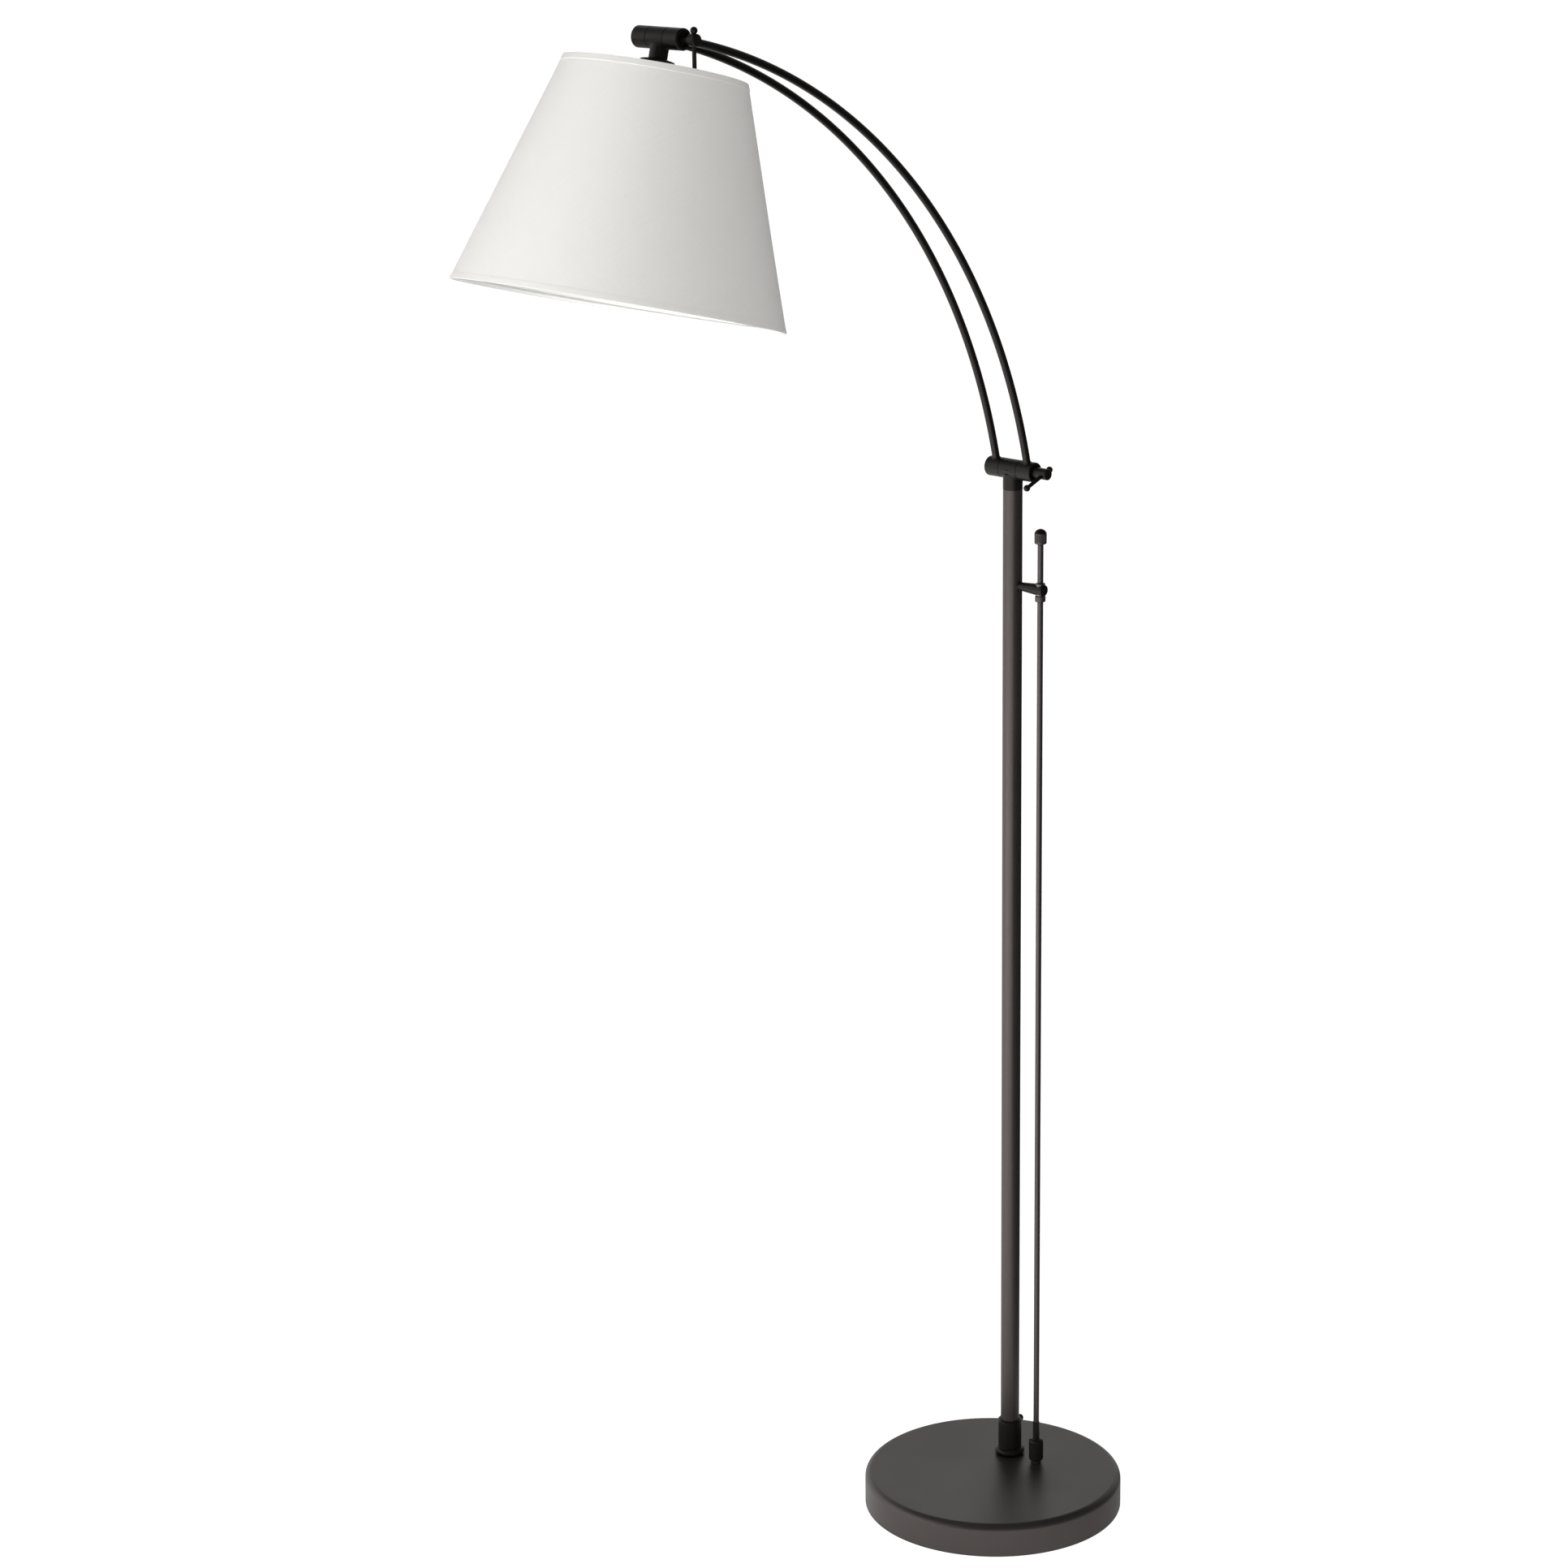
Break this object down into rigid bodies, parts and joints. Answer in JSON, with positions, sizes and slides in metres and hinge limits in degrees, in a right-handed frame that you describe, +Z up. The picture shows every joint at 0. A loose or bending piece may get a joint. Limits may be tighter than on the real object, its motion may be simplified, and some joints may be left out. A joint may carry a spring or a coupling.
{
  "type": "arc floor lamp",
  "caption": "Floor lamp with a weighted round base, slim pole with switch rod, twin arched arms on clamp joints and a tilting tapered fabric shade.",
  "frame": {"origin": "centre of the round base's underside, on the floor", "axes": "+Z up; the arms reach towards -X; the clamp axes run along Y with the T-handles on the -Y side"},
  "size_m": [0.8694, 0.344, 1.7734],
  "materials": {
    "bronze": "satin oil-brushed bronze",
    "dark_bronze": "satin dark bronze",
    "steel": "brushed",
    "white_wire": "white lacquered wire",
    "brass": "machined",
    "cap_metal": "rolled thread",
    "cast_iron": "as cast, painted",
    "felt": "pressed felt",
    "black_plastic": "moulded",
    "lead_jacket": "smooth jacket",
    "linen": "fine plain weave",
    "liner": "smooth white styrene",
    "opal_glass": "frosted white"
  },
  "bodies": {
    "stand": {"base_cover": "bronze", "base_weight": "cast_iron", "base_pad": "felt", "cord_grommet": "black_plastic", "pole_socket": "bronze", "socket_nipple": "brass", "nipple_washer": "steel", "nipple_nut": "brass", "pole_tube": "bronze", "pole_lead": "lead_jacket", "shoulder_tee": "dark_bronze", "dimmer_body": "black_plastic", "dimmer_nut": "bronze", "switch_bracket": "dark_bronze", "bracket_bush": "steel", "bracket_end_plug": "dark_bronze"},
    "set_screw": {"pole_set_screw": "bronze"},
    "switch": {"dimmer_shaft": "steel", "rod_coupler": "bronze", "switch_rod": "bronze", "rod_collar": "bronze", "rod_knob": "dark_bronze"},
    "arm": {"near_arm_tube": "dark_bronze", "far_arm_tube": "dark_bronze", "arm_lead": "lead_jacket", "near_shoulder_hub": "dark_bronze", "far_shoulder_hub": "dark_bronze", "near_head_hub": "dark_bronze", "far_head_hub": "dark_bronze", "friction_washers": "black_plastic", "clamp_nuts": "steel", "barrel_end_plugs": "dark_bronze"},
    "shoulder_clamp": {"shoulder_clamp_screw": "dark_bronze"},
    "shoulder_bar": {"shoulder_tee_bar": "dark_bronze"},
    "head_clamp": {"head_clamp_screw": "dark_bronze"},
    "head_bar": {"head_tee_bar": "dark_bronze"},
    "head": {"head_tee": "dark_bronze", "shade_disc": "dark_bronze", "holder_nipple": "brass", "head_lead": "lead_jacket", "holder_cap": "dark_bronze", "holder_skirt": "black_plastic", "holder_screw_shell": "brass", "holder_contact": "brass", "shade_ring_nut": "black_plastic", "bulb_cap": "cap_metal", "bulb_glass": "opal_glass", "shade_spider": "white_wire", "shade_top_ring": "white_wire", "shade_bottom_ring": "white_wire", "shade_fabric": "linen", "shade_liner": "liner", "shade_top_trim": "linen", "shade_bottom_trim": "linen"}
  },
  "joints": [
    {"name": "shoulder_tilt", "type": "hinge", "parent": "stand", "child": "arm", "pos_m": [0.0505, 0.0175, 1.2455], "axis": [0, 1, 0], "range_deg": [-60, 30]},
    {"name": "head_tilt", "type": "hinge", "parent": "arm", "child": "head", "pos_m": [-0.4815, 0.0175, 1.76], "axis": [0, 1, 0], "range_deg": [-12, 60]},
    {"name": "shoulder_clamp_turn", "type": "hinge", "parent": "arm", "child": "shoulder_clamp", "pos_m": [0.0505, -0.02, 1.2455], "axis": [0, -1, 0], "range_deg": [0, 270]},
    {"name": "head_clamp_turn", "type": "hinge", "parent": "arm", "child": "head_clamp", "pos_m": [-0.4815, -0.02, 1.76], "axis": [0, -1, 0], "range_deg": [0, 270]},
    {"name": "shoulder_bar_slide", "type": "slide", "parent": "shoulder_clamp", "child": "shoulder_bar", "axis": [0.9272, 0, 0.3746], "range_m": [0, 0.0218]},
    {"name": "head_bar_slide", "type": "slide", "parent": "head_clamp", "child": "head_bar", "axis": [0, 0, 1], "range_m": [0, 0.0218]},
    {"name": "switch_turn", "type": "hinge", "parent": "stand", "child": "switch", "pos_m": [0.0505, -0.0245, 0.6], "axis": [0, 0, 1], "range_deg": [0, 300]},
    {"name": "set_screw_turn", "type": "hinge", "parent": "stand", "child": "set_screw", "pos_m": [0.0505, 0.0175, 0.079], "axis": [1, 0, 0], "range_deg": [0, 270]}
  ]
}
